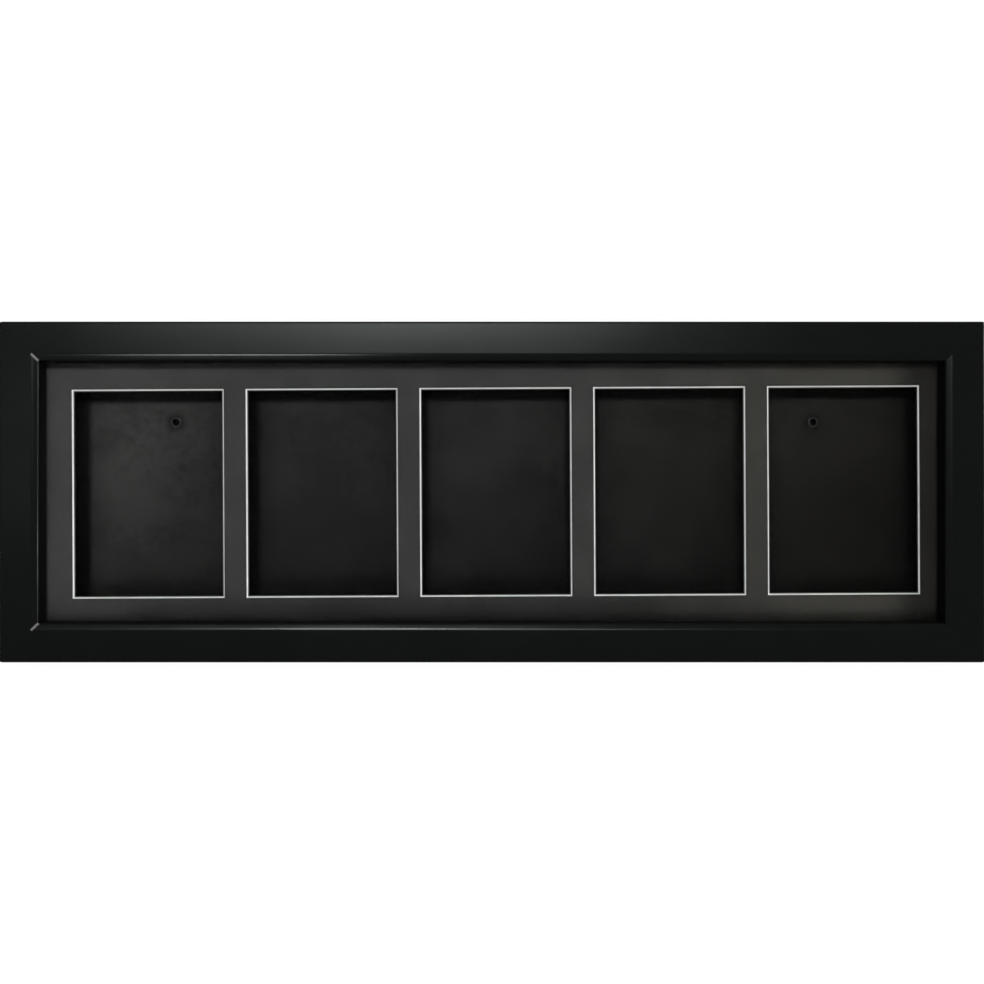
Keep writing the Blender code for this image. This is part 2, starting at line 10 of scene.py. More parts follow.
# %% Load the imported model
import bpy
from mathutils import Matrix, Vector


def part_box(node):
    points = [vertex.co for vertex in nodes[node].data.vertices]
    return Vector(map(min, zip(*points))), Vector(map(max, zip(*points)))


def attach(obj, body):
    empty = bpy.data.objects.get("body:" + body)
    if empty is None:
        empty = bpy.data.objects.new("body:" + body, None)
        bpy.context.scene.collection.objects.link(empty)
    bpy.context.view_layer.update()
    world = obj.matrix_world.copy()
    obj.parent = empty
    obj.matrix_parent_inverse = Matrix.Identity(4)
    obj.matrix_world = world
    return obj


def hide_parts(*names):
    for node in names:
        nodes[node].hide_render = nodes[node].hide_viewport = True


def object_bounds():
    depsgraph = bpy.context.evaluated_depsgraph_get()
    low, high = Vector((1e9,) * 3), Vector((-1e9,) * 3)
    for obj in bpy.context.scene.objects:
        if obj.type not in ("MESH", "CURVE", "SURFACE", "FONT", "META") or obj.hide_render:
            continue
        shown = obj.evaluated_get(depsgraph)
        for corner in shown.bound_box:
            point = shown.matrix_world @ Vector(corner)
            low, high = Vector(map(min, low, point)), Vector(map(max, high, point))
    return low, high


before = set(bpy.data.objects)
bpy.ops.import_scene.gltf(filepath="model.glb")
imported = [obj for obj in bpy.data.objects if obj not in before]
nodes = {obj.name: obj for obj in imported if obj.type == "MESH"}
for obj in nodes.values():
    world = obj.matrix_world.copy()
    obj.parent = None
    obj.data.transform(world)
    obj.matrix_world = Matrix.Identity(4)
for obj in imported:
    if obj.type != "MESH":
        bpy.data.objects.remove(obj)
solid_box = [[float(v) for v in corner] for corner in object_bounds()]

import math

import bmesh
import bpy
from mathutils import Vector

MM = 0.001
FRAME_BODY = "frame_body"
SIDES = ("left", "right")
front_y = solid_box[0][1]
middle_z = (solid_box[0][2] + solid_box[1][2]) / 2


def in_mm(box):
    return [[round(v / MM, 2) for v in corner] for corner in box]


print("solids:", len(nodes), "box in mm:", in_mm(solid_box))

# %% [markdown]
# ## The camera
#
# A product picture of a flat thing is taken square on, with the camera level with its middle. How much
# of the frame's inner side walls shows tells how near the camera was: here, half a metre. The lens
# then follows from the frame's width, which fills the picture from edge to edge.

# %% Camera
CAMERA_DISTANCE = 0.5
SENSOR_WIDTH = 36.0
FRAMING = 1.003
frame_width = solid_box[1][0] - solid_box[0][0]
camera_data = bpy.data.cameras.new("camera")
camera_data.sensor_width = SENSOR_WIDTH
camera_data.lens = SENSOR_WIDTH * CAMERA_DISTANCE / frame_width * FRAMING
camera_data.clip_start = 10 * MM
camera = bpy.data.objects.new("camera", camera_data)
camera.location = (0, front_y - CAMERA_DISTANCE, middle_z)
camera.rotation_euler = (math.radians(90), 0, 0)
bpy.context.scene.collection.objects.link(camera)
bpy.context.scene.camera = camera
bpy.context.scene.view_settings.view_transform = "Standard"
print("lens in mm:", round(camera_data.lens, 2))

# %% [markdown]
# ## Small tools for shader nodes
#
# Nodes can be wired one by one, but then every material takes a page. These helpers add one node each
# and take either a plain value or another node's output for each socket, so a material reads from top
# to bottom like a recipe.

# %% Node helpers
# A Mix node keeps a set of sockets for each kind of data, and these are the ones for colours
MIX_FACTOR, MIX_FIRST, MIX_SECOND, MIX_RESULT = 0, 6, 7, 2


def feed(tree, socket, value):
    if isinstance(value, bpy.types.NodeSocket):
        tree.links.new(value, socket)
    else:
        socket.default_value = value


def add_node(tree, kind, fields=None, **sockets):
    """Adds a shader node. Fields are its own settings, and sockets its inputs, with _ for a space."""
    node = tree.nodes.new("ShaderNode" + kind)
    for field, value in (fields or {}).items():
        setattr(node, field, value)
    for name, value in sockets.items():
        feed(tree, node.inputs[name.replace("_", " ")], value)
    return node


def calc(tree, operation, *values):
    """Maths on one value or two, or along a row of more, each joined to the result so far."""
    node = add_node(tree, "Math", {"operation": operation})
    for socket, value in zip(node.inputs, values[:2]):
        feed(tree, socket, value)
    if len(values) > 2:
        return calc(tree, operation, node.outputs[0], *values[2:])
    return node.outputs[0]


def blend_colours(tree, factor, first, second):
    node = add_node(tree, "Mix", {"data_type": "RGBA"})
    for index, value in ((MIX_FACTOR, factor), (MIX_FIRST, first), (MIX_SECOND, second)):
        feed(tree, node.inputs[index], value)
    return node.outputs[MIX_RESULT]


def rescale(tree, value, low, high, new_low=0.0, new_high=1.0):
    """Brings value from low..high to new_low..new_high, eased and held at both ends."""
    node = add_node(tree, "MapRange", {"interpolation_type": "SMOOTHSTEP"}, Value=value)
    for name, number in (("From Min", low), ("From Max", high), ("To Min", new_low), ("To Max", new_high)):
        feed(tree, node.inputs[name], number)
    return node.outputs["Result"]


def colour(red, green=None, blue=None):
    """A shade of grey from one number, or a colour from three."""
    if green is None:
        green = blue = red
    return (red, green, blue, 1.0)


print("a shade of grey as the nodes want it:", colour(0.5))

# %% [markdown]
# ## Places, patterns and materials
#
# A pattern on a piece has to stay with the piece when its body moves, so every pattern starts from the
# point's place on its own piece. Millimetres keep the sizes easy to read: a noise with a scale of 2
# has about two blobs in a millimetre.

# %% Helpers for places and patterns
def split(tree, vector):
    return add_node(tree, "SeparateXYZ", Vector=vector).outputs


def stretch(tree, vector, factors):
    """A vector or a colour times a factor for each part. A small factor draws a pattern out."""
    node = add_node(tree, "VectorMath", {"operation": "MULTIPLY"})
    feed(tree, node.inputs[0], vector)
    feed(tree, node.inputs[1], factors)
    return node.outputs[0]


def place_in_mm(tree):
    """Where a point lies on its own piece, in millimetres."""
    place = add_node(tree, "TexCoord").outputs["Object"]
    return add_node(tree, "VectorMath", {"operation": "SCALE"}, Vector=place, Scale=1 / MM).outputs[0]


def facing_back(tree):
    """-1 on a face that looks to the front, 1 on one that looks to the back, 0 on the sides."""
    return split(tree, add_node(tree, "TexCoord").outputs["Normal"])[1]


def noise(tree, place, scale, detail=2.0, roughness=0.5, seed=0.0):
    """Noise with about scale blobs in a millimetre."""
    fields = {"noise_dimensions": "4D"}
    sockets = {"Vector": place, "Scale": scale, "Detail": detail, "Roughness": roughness, "W": seed}
    return add_node(tree, "TexNoise", fields, **sockets).outputs["Fac"]


print("millimetres in a metre:", round(1 / MM))

# %% Helpers for materials
def new_material(name):
    """Material with a fresh Principled shader. Returns the material, its tree and the shader."""
    material = bpy.data.materials.new(name)
    material.use_nodes = True
    tree = material.node_tree
    tree.nodes.clear()
    shader = add_node(tree, "BsdfPrincipled")
    output = add_node(tree, "OutputMaterial")
    tree.links.new(shader.outputs["BSDF"], output.inputs["Surface"])
    return material, tree, shader


def shade_by(tree, tone, dark, light, low=0.35, high=0.65):
    """The dark colour where a noise is low and the light one where it is high."""
    return blend_colours(tree, rescale(tree, tone, low, high), dark, light)


def set_roughness(tree, shader, tone, where_low, where_high):
    """Roughness that follows a noise."""
    tree.links.new(rescale(tree, tone, 0.3, 0.7, where_low, where_high), shader.inputs["Roughness"])


def add_bump(tree, shader, height, strength, distance_mm):
    bump = add_node(tree, "Bump", Height=height, Strength=strength, Distance=distance_mm * MM)
    tree.links.new(bump.outputs["Normal"], shader.inputs["Normal"])


def mix_shaders(tree, share, first, second):
    """Sends out the first shader, with a share of the second mixed in."""
    mixed = add_node(tree, "MixShader")
    for socket, source in zip(mixed.inputs, (share, first.outputs[0], second.outputs[0])):
        tree.links.new(source, socket)
    tree.links.new(mixed.outputs[0], tree.nodes["Material Output"].inputs["Surface"])


def new_group(name, inputs, outputs):
    """Node group with float inputs (name: default value) and outputs, given by name."""
    tree = bpy.data.node_groups.new(name, "ShaderNodeTree")
    for socket_name, default in inputs.items():
        socket = tree.interface.new_socket(socket_name, in_out="INPUT", socket_type="NodeSocketFloat")
        socket.default_value = default
    for socket_name in outputs:
        tree.interface.new_socket(socket_name, in_out="OUTPUT", socket_type="NodeSocketFloat")
    return tree, tree.nodes.new("NodeGroupInput"), tree.nodes.new("NodeGroupOutput")


def use_group(tree, group, **sockets):
    return add_node(tree, "Group", {"node_tree": group}, **sockets).outputs


print("materials so far:", len(bpy.data.materials))

# %% [markdown]
# ## The studio
#
# White ground comes from the colour that the camera sees, not from more light: the world and the floor
# look white to the camera, in reflections and through glass, while a much weaker fill lights the
# object. A ray that has already bounced off paint is light on the object, so it gets the fill, even
# where it has passed through the glass on its way. Diffuse Depth tells.

# %% World
FILL = 0.03


def sees_ground(tree):
    """1 for camera, glossy and transmission rays, which see the white ground, and 0 for the rest."""
    path = add_node(tree, "LightPath").outputs
    seen = calc(tree, "MAXIMUM", path["Is Camera Ray"], path["Is Glossy Ray"], path["Is Transmission Ray"])
    return calc(tree, "MULTIPLY", seen, calc(tree, "LESS_THAN", path["Diffuse Depth"], 0.5))


world = bpy.data.worlds.new("studio")
world.use_nodes = True
tree = world.node_tree
strength = rescale(tree, sees_ground(tree), 0.0, 1.0, FILL, 1.0)
tree.nodes["Background"].inputs["Color"].default_value = colour(1.0)
tree.links.new(strength, tree.nodes["Background"].inputs["Strength"])
bpy.context.scene.world = world
print("world:", world.name, "fill:", FILL)

# %% Floor
FLOOR_REACH = 6.0
GROUND_SHARE = 0.88
GROUND_GLOW = 1.08
floor_paint, tree, shader = new_material("floor_paint")
paint_tone = rescale(tree, noise(tree, place_in_mm(tree), 0.004, 4.0), 0.3, 0.7, 0.86, 0.9)
shade = add_node(tree, "CombineColor", Red=paint_tone, Green=paint_tone, Blue=paint_tone)
tree.links.new(shade.outputs[0], shader.inputs["Base Color"])
shader.inputs["Roughness"].default_value = 0.8
white = add_node(tree, "Emission", Color=colour(1.0), Strength=GROUND_GLOW)
mix_shaders(tree, calc(tree, "MULTIPLY", sees_ground(tree), GROUND_SHARE), shader, white)

floor_corners = [(x * FLOOR_REACH, y * FLOOR_REACH, 0) for x, y in ((-1, -1), (1, -1), (1, 1), (-1, 1))]
floor_mesh = bpy.data.meshes.new("floor")
floor_mesh.from_pydata(floor_corners, [], [(0, 1, 2, 3)])
floor_mesh.materials.append(floor_paint)
floor = bpy.data.objects.new("floor", floor_mesh)
bpy.context.scene.collection.objects.link(floor)
print("floor:", 2 * FLOOR_REACH, "m wide")

# %% [markdown]
# ## The lamps
#
# All the lamps in front are long, low strips that hang at one and the same slope above the frame. A
# strip gives soft light from side to side, but a crisp edge below: that is what the shadow under each
# window's top edge shows. The middle one and the near one make the sheen on the top rail. The one far
# to the right rakes over the mat, so the right rail's shadow lies on its last few centimetres. Soft
# boxes behind the frame light its ends, its top and its back, and don't reach the front.

# %% Lamps
STRIP_SLOPE = 0.245
STRIP_FLATNESS = 40
CENTRE = (0, 0, middle_z)


def add_light(name, place, target, size, level, height=None):
    """Area light that aims at a point. Level is how bright it makes a white card there: 1 is white."""
    data = bpy.data.lights.new(name, "AREA")
    data.shape = "RECTANGLE"
    data.size = size
    data.size_y = height or size
    reach = Vector(target) - Vector(place)
    data.energy = level * (math.pi * reach.length) ** 2
    light = bpy.data.objects.new(name, data)
    light.location = place
    light.rotation_euler = reach.to_track_quat("-Z", "Y").to_euler()
    # The lamp reaches what is behind the glass as a shadow ray, and must not count twice
    light.visible_transmission = False
    bpy.context.scene.collection.objects.link(light)
    return light


def strip_height(distance):
    """How high a strip hangs at a distance in front of the frame's middle."""
    return middle_z + STRIP_SLOPE * distance


def add_strip(name, x, distance, length, level):
    place = (x, -distance, strip_height(distance))
    add_light(name, place, CENTRE, length, level, height=distance / STRIP_FLATNESS)


add_strip("strip_middle", x=-0.05, distance=3.0, length=0.85, level=0.5)
add_strip("strip_near", x=-0.29, distance=1.1, length=0.5, level=0.1)
add_strip("strip_right", x=2.75, distance=1.8, length=1.7, level=0.6)
add_light("left_back_box", (-1.1, 0.8, 0.7), CENTRE, size=0.8, level=0.5)
add_light("right_back_box", (1.1, 0.8, 0.7), CENTRE, size=0.8, level=0.5)
add_light("overhead", (0, 0.25, 1.5), CENTRE, size=0.8, level=0.4)

# %% [markdown]
# ## Effects that several finishes share
#
# Dust, worn edges, paper fibres and rolled metal turn up on more than one piece. Each is built once as
# a node group with named inputs, so that a material only says how much of it there is. A group gives
# back masks and heights and never a shader, which stays in the material.
#
# Dust comes first. It lies in specks, more in some patches than in others, and most on what faces up.
# Voronoi cells hold a point each, so they give the specks, and each cell's colour gives its speck a
# size of its own.

# %% Fine dust
fine_dust, inside, outside = new_group("fine_dust", {"Amount": 0.3, "Speck Size": 0.12}, ["Mask"])
tree = fine_dust
place = place_in_mm(tree)
cells = add_node(tree, "TexVoronoi", {"feature": "F1"}, Vector=place, Scale=1.1)
size = calc(tree, "MULTIPLY", inside.outputs["Speck Size"], split(tree, cells.outputs["Color"])[0])
speck = calc(tree, "LESS_THAN", cells.outputs["Distance"], size)
patches = rescale(tree, noise(tree, place, 0.05, 3.0, seed=2.0), 0.45, 0.7)
up = split(tree, add_node(tree, "TexCoord").outputs["Normal"])[2]
settled = rescale(tree, up, -0.2, 1.0, 0.35, 1.0)
mask = calc(tree, "MULTIPLY", speck, patches, settled, inside.outputs["Amount"])
tree.links.new(mask, outside.inputs["Mask"])
print("group:", fine_dust.name, "nodes:", len(fine_dust.nodes))

# %% [markdown]
# ### Worn edges
#
# A coat wears off along the edges first. The Bevel node gives the normal that a rounded edge would
# have, so a point where that differs from the true normal lies near an edge. Noise breaks the line.

# %% Worn edges
edge_wear, inside, outside = new_group("edge_wear", {"Width": 0.3, "Amount": 0.5}, ["Mask"])
tree = edge_wear
radius = calc(tree, "MULTIPLY", inside.outputs["Width"], MM)
rounded = add_node(tree, "Bevel", {"samples": 4}, Radius=radius).outputs[0]
likeness = add_node(tree, "VectorMath", {"operation": "DOT_PRODUCT"})
tree.links.new(rounded, likeness.inputs[0])
tree.links.new(add_node(tree, "NewGeometry").outputs["Normal"], likeness.inputs[1])
edge = rescale(tree, likeness.outputs["Value"], 0.99, 0.85)
broken = rescale(tree, noise(tree, place_in_mm(tree), 0.35, 4.0, seed=5.0), 0.42, 0.66)
tree.links.new(calc(tree, "MULTIPLY", edge, broken, inside.outputs["Amount"]), outside.inputs["Mask"])
print("group:", edge_wear.name, "nodes:", len(edge_wear.nodes))

# %% [markdown]
# ### Paper fibres
#
# The fibres of a sheet lie every way. From half a metre, two noises are enough, one drawn out along
# the sheet and one up it, with a slow cloud under them where the dye took less well.

# %% Paper fibres
paper_fibre, inside, outside = new_group("paper_fibre", {"Fibres": 3.0}, ["Tone", "Height"])
tree = paper_fibre
place = place_in_mm(tree)
lying = noise(tree, stretch(tree, place, (0.35, 1.0, 1.6)), inside.outputs["Fibres"], 3.0, 0.65, 1.0)
standing = noise(tree, stretch(tree, place, (1.5, 1.0, 0.45)), inside.outputs["Fibres"], 3.0, 0.65, 4.0)
fibres = calc(tree, "MULTIPLY", calc(tree, "ADD", lying, standing), 0.5)
cloud = noise(tree, place, 0.06, 3.0, 0.5, 7.0)
tone = calc(tree, "MULTIPLY", calc(tree, "ADD", fibres, cloud), 0.5)
tree.links.new(tone, outside.inputs["Tone"])
tree.links.new(fibres, outside.inputs["Height"])
print("group:", paper_fibre.name, "nodes:", len(paper_fibre.nodes))

# %% [markdown]
# ### Rolled metal
#
# Rolling leaves fine lines along the sheet, and the bath of zinc leaves it cloudy. Both are noise: a
# drawn-out one for the lines and a round one for the clouds.

# %% Rolled metal
rolled_metal, inside, outside = new_group("rolled_metal", {"Scratches": 0.5}, ["Tone", "Height"])
tree = rolled_metal
place = place_in_mm(tree)
cloud = noise(tree, place, 0.5, 3.0, 0.6, 3.0)
lines = noise(tree, stretch(tree, place, (9.0, 9.0, 0.5)), 1.0, 3.0, 0.7, 8.0)
tone = calc(tree, "ADD", calc(tree, "MULTIPLY", cloud, 0.6), calc(tree, "MULTIPLY", lines, 0.4))
tree.links.new(tone, outside.inputs["Tone"])
tree.links.new(calc(tree, "MULTIPLY", lines, inside.outputs["Scratches"]), outside.inputs["Height"])
print("group:", rolled_metal.name, "nodes:", len(rolled_metal.nodes))

# %% [markdown]
# ## Pieces copied from the solids
#
# A dressed piece starts as a copy of its solid, so it stays exactly where the solid is. The import
# splits a mesh along its sharp edges, so the copy is welded first. Then its faces are shaded smooth,
# apart from edges that turn by more than a set angle. Some pieces also get their edges rounded.

# %% Copy a solid
SHARP_TURN = math.radians(35)
FLAT_TURN = math.radians(0.5)
WELD = 0.002 * MM
EDGE_SEGMENTS = 3
LARGE_FACES_LEAD = 100


def copy_solid(node_name, piece_name, material, body=FRAME_BODY, edge_mm=0.0):
    mesh = nodes[node_name].data.copy()
    mesh.name = piece_name
    shape = bmesh.new()
    shape.from_mesh(mesh)
    bmesh.ops.remove_doubles(shape, verts=shape.verts, dist=WELD)
    bmesh.ops.dissolve_limit(
        shape, angle_limit=FLAT_TURN, verts=shape.verts, edges=shape.edges, delimit={"NORMAL"}
    )
    shape.to_mesh(mesh)
    shape.free()
    if "custom_normal" in mesh.attributes:
        mesh.attributes.remove(mesh.attributes["custom_normal"])
    mesh.shade_smooth()
    mesh.set_sharp_from_angle(angle=SHARP_TURN)
    mesh.materials.clear()
    mesh.materials.append(material)
    piece = bpy.data.objects.new(piece_name, mesh)
    bpy.context.scene.collection.objects.link(piece)
    if edge_mm:
        soften = piece.modifiers.new("Rounded edges", "BEVEL")
        soften.width = edge_mm * MM
        soften.segments = EDGE_SEGMENTS
        soften.limit_method = "ANGLE"
        soften.angle_limit = SHARP_TURN
    flatten = piece.modifiers.new("Flat faces shade flat", "WEIGHTED_NORMAL")
    flatten.weight = LARGE_FACES_LEAD
    flatten.keep_sharp = True
    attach(piece, body)
    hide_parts(node_name)
    print("piece:", piece_name, "faces:", len(mesh.polygons))
    return piece


# %% [markdown]
# ## The rails
#
# Four lengths of box moulding, mitred at the corners, were joined first and lacquered black
# afterwards, which is why no joint shows on their flat faces. The lacquer is satin: its sheen comes
# from the roughness, and a faint orange peel breaks it up. The sides had a thinner, duller coat, and
# the back was only stained. The rounded edges are in the solids already.

# %% Lacquer
LACQUER_ROUGHNESS = 0.21
ROUGHER_BESIDE = 0.26
ROUGHER_BEHIND = 0.15
ALONG_GRAIN = 0.06
ACROSS_GRAIN = 1.2


def make_lacquer(name, grain_axis):
    """Black satin lacquer at the front, stained wood with its grain along an axis at the back."""
    material, tree, shader = new_material(name)
    place = place_in_mm(tree)
    normal_y = facing_back(tree)
    back = rescale(tree, normal_y, 0.6, 0.9)
    dust = use_group(tree, fine_dust, Amount=0.5, Speck_Size=0.16)["Mask"]
    worn = use_group(tree, edge_wear, Width=0.35, Amount=0.25)["Mask"]
    black = blend_colours(tree, worn, colour(0.0016, 0.0017, 0.0017), colour(0.02))
    black = blend_colours(tree, dust, black, colour(0.12, 0.12, 0.115))
    factors = [ACROSS_GRAIN, ACROSS_GRAIN, ACROSS_GRAIN]
    factors[grain_axis] = ALONG_GRAIN
    grain = noise(tree, stretch(tree, place, factors), 1.0, 5.0, 0.7, 1.5)
    stain = shade_by(tree, grain, colour(0.008, 0.007, 0.006), colour(0.03, 0.024, 0.019), 0.3, 0.7)
    tree.links.new(blend_colours(tree, back, black, stain), shader.inputs["Base Color"])
    gloss = rescale(tree, noise(tree, place, 0.03, 4.0, 0.6, 9.0), 0.3, 0.7, -0.02, 0.03)
    beside = rescale(tree, normal_y, -0.7, -0.3, 0.0, ROUGHER_BESIDE)
    behind = calc(tree, "MULTIPLY", back, ROUGHER_BEHIND)
    roughness = calc(tree, "ADD", gloss, LACQUER_ROUGHNESS, beside, behind)
    tree.links.new(roughness, shader.inputs["Roughness"])
    shader.inputs["Specular IOR Level"].default_value = 0.05
    shader.inputs["Specular Tint"].default_value = colour(0.92, 1.0, 0.97)
    open_grain = calc(tree, "MULTIPLY", grain, back, 3.0)
    peel = calc(tree, "MULTIPLY", noise(tree, place, 0.9, 2.0, 0.4, 6.0), 0.1)
    add_bump(tree, shader, calc(tree, "ADD", open_grain, peel), 0.35, 0.05)
    print("material:", name, "nodes:", len(tree.nodes))
    return material


lacquer_across = make_lacquer("lacquer_across", 0)
lacquer_upright = make_lacquer("lacquer_upright", 2)

# %% Rails with closed mitres
MITRE_GAP = 0.2 * MM
ON_THE_CUT = 0.01 * MM
FOUR_SIDES = ("top", "bottom", "left", "right")
half_width = frame_width / 2
half_height = middle_z


def close_mitres(piece, across):
    """Slides a rail's mitred ends out by half the gap that the solids keep, to the mitre's plane."""
    slide = MITRE_GAP / math.sqrt(2)
    moved = 0
    for vertex in piece.data.vertices:
        x, z = vertex.co.x, vertex.co.z - middle_z
        beyond = (abs(x) - half_width) - (abs(z) - half_height)
        if across and abs(beyond + slide) < ON_THE_CUT:
            vertex.co.x += math.copysign(slide, x)
            moved += 1
        if not across and abs(beyond - slide) < ON_THE_CUT:
            vertex.co.z += math.copysign(slide, z)
            moved += 1
    return moved


for side in FOUR_SIDES:
    across = side in ("top", "bottom")
    paint = lacquer_across if across else lacquer_upright
    rail = copy_solid("rail_" + side, "moulding_" + side, paint)
    print("mitre points closed:", close_mitres(rail, across))

# %% [markdown]
# ## The filled mitres
#
# Where two bevels meet they leave a tiny valley, and a maker fills it before the last coat. At the two
# left corners the fill is coloured pale as a painted highlight: the light along the mitre, a short
# slanting line. Each fill is a small patch of mesh. Its depth follows the moulding's own section, read
# with a soft minimum of the distances from the two outer edges. That makes a valley round where the
# plain minimum is sharp.

# %% Section of the moulding, in mm
RAIL_FACE = 14.15
BEVEL_WIDTH = 2.8
BEVEL_DEPTH = 0.9
FACE_ARRIS = 4.0
SIGHT_ARRIS = 1.2
SIGHT_ARRIS_SHOWN = 0.96 * SIGHT_ARRIS
bevel_angle = math.atan2(BEVEL_DEPTH, BEVEL_WIDTH)
face_tangent = FACE_ARRIS * math.tan(bevel_angle / 2)


def section_depth(inward):
    """Depth of the moulding's front, in mm, at a distance in mm from its outer edge."""
    past_face = inward - (RAIL_FACE - face_tangent)
    if past_face <= 0:
        return 0.0
    if past_face < FACE_ARRIS * math.sin(bevel_angle):
        return FACE_ARRIS - math.sqrt(FACE_ARRIS**2 - past_face**2)
    sight_centre = RAIL_FACE + BEVEL_WIDTH - SIGHT_ARRIS
    before_arc = sight_centre + SIGHT_ARRIS * math.sin(bevel_angle)
    if inward < before_arc:
        return (inward - RAIL_FACE) * math.tan(bevel_angle)
    arc_depth = (before_arc - RAIL_FACE) * math.tan(bevel_angle) + SIGHT_ARRIS * math.cos(bevel_angle)
    across = min(inward - sight_centre, SIGHT_ARRIS_SHOWN)
    return arc_depth - math.sqrt(SIGHT_ARRIS**2 - across**2)


def soft_min(first, second, reach):
    overlap = max(reach - abs(first - second), 0.0) / reach
    return min(first, second) - overlap * overlap * reach / 4


print("bevel in degrees:", round(math.degrees(bevel_angle), 1))

# %% Fills in the mitres, in mm
FILL_START = RAIL_FACE - 0.3
FILL_LENGTH = BEVEL_WIDTH + 0.1
FILL_REACH = 0.7
FILL_WIDTH = 0.98 * FILL_REACH
FILL_PROUD = 0.02
FILL_STEPS = 10


def add_left_fill(name, sign_z, material):
    """Patch along one of the left mitres, from the flat face to the rounded sight edge."""
    verts, faces = [], []
    for row in range(FILL_STEPS + 1):
        along = FILL_START + FILL_LENGTH * row / FILL_STEPS
        for step in range(FILL_STEPS + 1):
            aside = FILL_WIDTH * (step / FILL_STEPS - 0.5)
            from_side, from_end = along + aside, along - aside
            depth = section_depth(soft_min(from_side, from_end, FILL_REACH)) - FILL_PROUD
            x = from_side * MM - half_width
            z = middle_z + sign_z * (half_height - from_end * MM)
            verts.append((x, front_y + depth * MM, z))
    row_length = FILL_STEPS + 1
    for row in range(FILL_STEPS):
        for step in range(FILL_STEPS):
            first = row * row_length + step
            face = (first, first + 1, first + 1 + row_length, first + row_length)
            faces.append(face if sign_z < 0 else face[::-1])
    mesh = bpy.data.meshes.new(name)
    mesh.from_pydata(verts, [], faces)
    mesh.materials.append(material)
    mesh.shade_smooth()
    fill = bpy.data.objects.new(name, mesh)
    bpy.context.scene.collection.objects.link(fill)
    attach(fill, FRAME_BODY)
    print("piece:", name, "faces:", len(mesh.polygons), "facing front:", mesh.polygons[0].normal.y < 0)


# Painted highlight: the pale colour stands for the light caught along the two left mitres
mitre_highlight_paint, tree, shader = new_material("mitre_fill_painted_highlight")
crumbs = noise(tree, place_in_mm(tree), 2.2, 4.0, 0.7, 3.0)
mitre_highlight_shade = shade_by(tree, crumbs, colour(0.045, 0.045, 0.044), colour(0.15, 0.148, 0.143), 0.3, 0.7)
tree.links.new(mitre_highlight_shade, shader.inputs["Base Color"])
set_roughness(tree, shader, crumbs, 0.6, 0.8)
add_bump(tree, shader, crumbs, 0.4, 0.05)
for upright, sign_z in (("top", 1), ("bottom", -1)):
    add_left_fill(f"mitre_fill_{upright}_left", sign_z, mitre_highlight_paint)

# %% [markdown]
# ## Light for one rail
#
# The rounded edges of the bevel gather thin lines of light, from things that nothing else in the frame
# mirrors, and the sheen reaches further on the faces of the top and left rails. Five lamps make this.
# Light linking gives each of them a single rail to shine on, and they count in its sheen only. So the
# mat and the board stay as they are. Three draw the lines, and two carry the sheen further.

# %% Lamps for one rail
SHEEN_DISTANCE = 3.0


def add_rail_light(name, rail_name, place, target, length, level, height=0.03):
    light = add_light(name, place, target, length, level, height)
    receivers = bpy.data.collections.new(name + "_receivers")
    receivers.objects.link(bpy.data.objects[rail_name])
    light.light_linking.receiver_collection = receivers
    light.visible_diffuse = False
    print("lamp:", name, "shines on", rail_name)


inner_top = (-0.1, front_y, middle_z + half_height - RAIL_FACE * MM)
lower_edge = (-0.05, front_y, 0.014)
inner_left = (-half_width + (RAIL_FACE + BEVEL_WIDTH) * MM, front_y, 0.03)
left_face = (-half_width + RAIL_FACE * MM / 2, front_y, middle_z)
top_face = (-0.09, front_y, inner_top[2])
near_floor = (-0.19, front_y - 0.36, 0.02)
high_up = (-0.42, -SHEEN_DISTANCE, middle_z + 1.1)
low_right = (0.19, -0.41, 0.02)
far_strip = (-0.66, -SHEEN_DISTANCE, strip_height(SHEEN_DISTANCE))
far_left = (-1.4, -SHEEN_DISTANCE, middle_z)
add_rail_light("edge_top", "moulding_top", near_floor, inner_top, length=0.15, level=1.8)
add_rail_light("edge_bottom", "moulding_bottom", high_up, lower_edge, length=0.45, level=1.1)
add_rail_light("edge_left", "moulding_left", low_right, inner_left, length=0.1, level=0.6)
add_rail_light("sheen_top", "moulding_top", far_strip, top_face, length=0.7, level=0.17)
add_rail_light("sheen_left", "moulding_left", far_left, left_face, length=0.35, level=0.03, height=0.84)

# %% [markdown]
# ## The glass
#
# Hardly anything is mirrored in it, so this is the coated glass that picture framers use. The coating
# steps the light in gently, and a low index of refraction has that effect: at 1.05 a pane mirrors an
# eighth of a percent, and bare glass eight percent. Lamps would not shine through glass in the render,
# so for shadow rays it gives way to a transparent shader. Faint wipe marks keep it from being perfect.

# %% Glass
COATED_IOR = 1.05
clear_glass, tree, shader = new_material("clear_glass")
shader.inputs["Base Color"].default_value = colour(0.98, 0.985, 0.982)
shader.inputs["Transmission Weight"].default_value = 1.0
shader.inputs["IOR"].default_value = COATED_IOR
wiped = noise(tree, stretch(tree, place_in_mm(tree), (0.01, 1.0, 0.04)), 1.0, 3.0, 0.6, 3.0)
tree.links.new(rescale(tree, wiped, 0.5, 0.8, 0.0, 0.03), shader.inputs["Roughness"])
clear = add_node(tree, "BsdfTransparent", Color=colour(0.935, 0.94, 0.936))
mix_shaders(tree, add_node(tree, "LightPath").outputs["Is Shadow Ray"], shader, clear)
copy_solid("glazing", "glass_sheet", clear_glass)

# %% [markdown]
# ## Where a point is in the row of windows
#
# The black paper and the board behind it carry painted light and shade that change along the row, and
# both turn warmer towards the right, so both materials need to know where a point lies in the row,
# which climbs a little to the right. The five windows repeat at one pitch, so the remainder of a
# division by that pitch gives the place within whichever window it is.

# %% Place within a window, in mm
WINDOW_PITCH = 76.1
WINDOW_HALF_WIDTH = 32.25
WINDOW_HALF_HEIGHT = 44.75
ROW_OFFSET = 1.7
ROW_TILT = math.radians(0.3)
WARMER_TO_RIGHT = (1.045, 1.0, 0.9)


